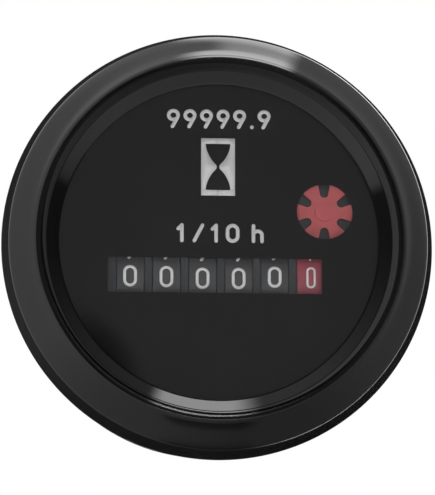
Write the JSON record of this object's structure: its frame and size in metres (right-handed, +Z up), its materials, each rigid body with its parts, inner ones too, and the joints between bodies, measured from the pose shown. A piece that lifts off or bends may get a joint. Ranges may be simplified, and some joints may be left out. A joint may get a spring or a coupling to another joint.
{
  "type": "hour meter",
  "caption": "Round panel hour meter: quartz stepping motor, gear train, drum counter behind a window, running-indicator disc, clear lens, stepped bezel, rear studs and blade terminals.",
  "frame": {"origin": "on the case axis, at the front face of the panel, which is the rear face of the panel gasket", "axes": "the dial faces -Y, the case reaches back along +Y, +Z is up on the dial and +X is right"},
  "size_m": [0.0596, 0.0473, 0.0596],
  "materials": {
    "bezel_gloss": "high-gloss moulded ABS, black",
    "ring_gloss": "high-gloss moulded styrene, black",
    "clear_lens": "clear moulded acrylic, polished",
    "seal_rubber": "black nitrile, matt",
    "dial_print": "matt black dial with grey screen print",
    "case_moulding": "fine spark-eroded black ABS",
    "plate_moulding": "moulded acetal, dark green-grey",
    "number_drum": "satin moulded acetal with white printed numbers",
    "red_drum": "satin moulded acetal, red, white numbers",
    "red_disc": "matt red styrene",
    "natural_acetal": "natural moulded acetal",
    "turned_brass": "turned and cut brass",
    "ground_steel": "ground steel",
    "plated_steel": "bright zinc plate",
    "sheet_steel": "folded zinc-plated sheet",
    "soft_iron": "annealed silicon-steel stamping",
    "magnet": "sintered magnet, ground",
    "bobbin_moulding": "moulded nylon, dark red",
    "enamelled_copper": "enamelled copper wire, layer wound",
    "tinned_wire": "tinned copper",
    "board_laminate": "glass-epoxy laminate, green mask",
    "spacer_nylon": "natural nylon",
    "crystal_can": "drawn nickel-plated can",
    "chip_epoxy": "moulded black epoxy",
    "capacitor_sleeve": "dark blue shrink sleeve",
    "resistor_lacquer": "beige lacquer",
    "tinned_brass": "tin-flashed stamped brass"
  },
  "bodies": {
    "root": {"bezel": "bezel_gloss", "lens": "clear_lens", "lens_gasket": "seal_rubber", "dial_ring": "ring_gloss", "dial": "dial_print", "panel_gasket": "seal_rubber", "case": "case_moulding", "front_plate": "plate_moulding", "rear_plate": "plate_moulding", "plate_pillars": "turned_brass", "plate_screws": "plated_steel", "movement_screws": "plated_steel", "counter_frame": "sheet_steel", "frame_screws": "plated_steel", "counter_shaft": "ground_steel", "pinion_shaft": "ground_steel", "shaft_clips": "sheet_steel", "stator": "soft_iron", "coil_core": "soft_iron", "core_screws": "plated_steel", "coil_bobbin": "bobbin_moulding", "coil_winding": "enamelled_copper", "coil_pins": "tinned_wire", "circuit_board": "board_laminate", "board_spacers": "spacer_nylon", "board_screws": "plated_steel", "quartz_crystal": "crystal_can", "driver_chip": "chip_epoxy", "capacitor": "capacitor_sleeve", "diode": "chip_epoxy", "resistors": "resistor_lacquer", "terminal_left": "tinned_brass", "terminal_right": "tinned_brass", "mounting_studs": "plated_steel"},
    "running_indicator": {"indicator_disc": "red_disc", "indicator_arbor": "ground_steel", "second_wheel": "turned_brass"},
    "worm_drive": {"worm": "natural_acetal", "worm_arbor": "ground_steel"},
    "first_train": {"first_wheel": "natural_acetal", "first_arbor": "ground_steel"},
    "rotor": {"rotor_magnet": "magnet", "rotor_arbor": "ground_steel"},
    "tenths": {"tenths_wheel": "red_drum", "worm_wheel": "natural_acetal"},
    "ten_thousands": {"ten_thousands_wheel": "number_drum"},
    "thousands": {"thousands_wheel": "number_drum"},
    "hundreds": {"hundreds_wheel": "number_drum"},
    "tens": {"tens_wheel": "number_drum"},
    "units": {"units_wheel": "number_drum"},
    "pinion_1": {"transfer_pinion_1": "natural_acetal"},
    "pinion_2": {"transfer_pinion_2": "natural_acetal"},
    "pinion_3": {"transfer_pinion_3": "natural_acetal"},
    "pinion_4": {"transfer_pinion_4": "natural_acetal"},
    "pinion_5": {"transfer_pinion_5": "natural_acetal"}
  },
  "joints": [
    {"name": "indicator_turn", "type": "hinge", "parent": "root", "child": "running_indicator", "pos_m": [0.0146, 0, 0.0045], "axis": [0, 1, 0], "continuous": true},
    {"name": "worm_turn", "type": "hinge", "parent": "root", "child": "worm_drive", "pos_m": [0.01698, 0, 0.00236], "axis": [0, 1, 0], "continuous": true},
    {"name": "first_turn", "type": "hinge", "parent": "root", "child": "first_train", "pos_m": [0.009, 0, 0.00903], "axis": [0, 1, 0], "continuous": true},
    {"name": "rotor_turn", "type": "hinge", "parent": "root", "child": "rotor", "pos_m": [0.00241, 0, 0.01068], "axis": [0, 1, 0], "continuous": true},
    {"name": "tenths_turn", "type": "hinge", "parent": "root", "child": "tenths", "pos_m": [0, 0.004, -0.00455], "axis": [-1, 0, 0], "continuous": true},
    {"name": "units_turn", "type": "hinge", "parent": "root", "child": "units", "pos_m": [0, 0.004, -0.00455], "axis": [-1, 0, 0], "continuous": true},
    {"name": "tens_turn", "type": "hinge", "parent": "root", "child": "tens", "pos_m": [0, 0.004, -0.00455], "axis": [-1, 0, 0], "continuous": true},
    {"name": "hundreds_turn", "type": "hinge", "parent": "root", "child": "hundreds", "pos_m": [0, 0.004, -0.00455], "axis": [-1, 0, 0], "continuous": true},
    {"name": "thousands_turn", "type": "hinge", "parent": "root", "child": "thousands", "pos_m": [0, 0.004, -0.00455], "axis": [-1, 0, 0], "continuous": true},
    {"name": "ten_thousands_turn", "type": "hinge", "parent": "root", "child": "ten_thousands", "pos_m": [0, 0.004, -0.00455], "axis": [-1, 0, 0], "continuous": true},
    {"name": "pinion_1_turn", "type": "hinge", "parent": "root", "child": "pinion_1", "pos_m": [0, 0.004, -0.01155], "axis": [-1, 0, 0], "continuous": true},
    {"name": "pinion_2_turn", "type": "hinge", "parent": "root", "child": "pinion_2", "pos_m": [0, 0.004, -0.01155], "axis": [-1, 0, 0], "continuous": true},
    {"name": "pinion_3_turn", "type": "hinge", "parent": "root", "child": "pinion_3", "pos_m": [0, 0.004, -0.01155], "axis": [-1, 0, 0], "continuous": true},
    {"name": "pinion_4_turn", "type": "hinge", "parent": "root", "child": "pinion_4", "pos_m": [0, 0.004, -0.01155], "axis": [-1, 0, 0], "continuous": true},
    {"name": "pinion_5_turn", "type": "hinge", "parent": "root", "child": "pinion_5", "pos_m": [0, 0.004, -0.01155], "axis": [-1, 0, 0], "continuous": true}
  ],
  "couplings": [
    {"joint": "worm_turn", "follows": "indicator_turn", "ratio": -1},
    {"joint": "first_turn", "follows": "indicator_turn", "ratio": -8},
    {"joint": "rotor_turn", "follows": "indicator_turn", "ratio": 60},
    {"joint": "tenths_turn", "follows": "indicator_turn", "ratio": 0.033333},
    {"joint": "units_turn", "follows": "indicator_turn", "ratio": 0.0033333},
    {"joint": "tens_turn", "follows": "indicator_turn", "ratio": 0.00033333},
    {"joint": "hundreds_turn", "follows": "indicator_turn", "ratio": 0.000033333},
    {"joint": "thousands_turn", "follows": "indicator_turn", "ratio": 0.0000033333},
    {"joint": "ten_thousands_turn", "follows": "indicator_turn", "ratio": 0.00000033333},
    {"joint": "pinion_1_turn", "follows": "indicator_turn", "ratio": -0.00000083333},
    {"joint": "pinion_2_turn", "follows": "indicator_turn", "ratio": -0.0000083333},
    {"joint": "pinion_3_turn", "follows": "indicator_turn", "ratio": -0.000083333},
    {"joint": "pinion_4_turn", "follows": "indicator_turn", "ratio": -0.00083333},
    {"joint": "pinion_5_turn", "follows": "indicator_turn", "ratio": -0.0083333}
  ]
}
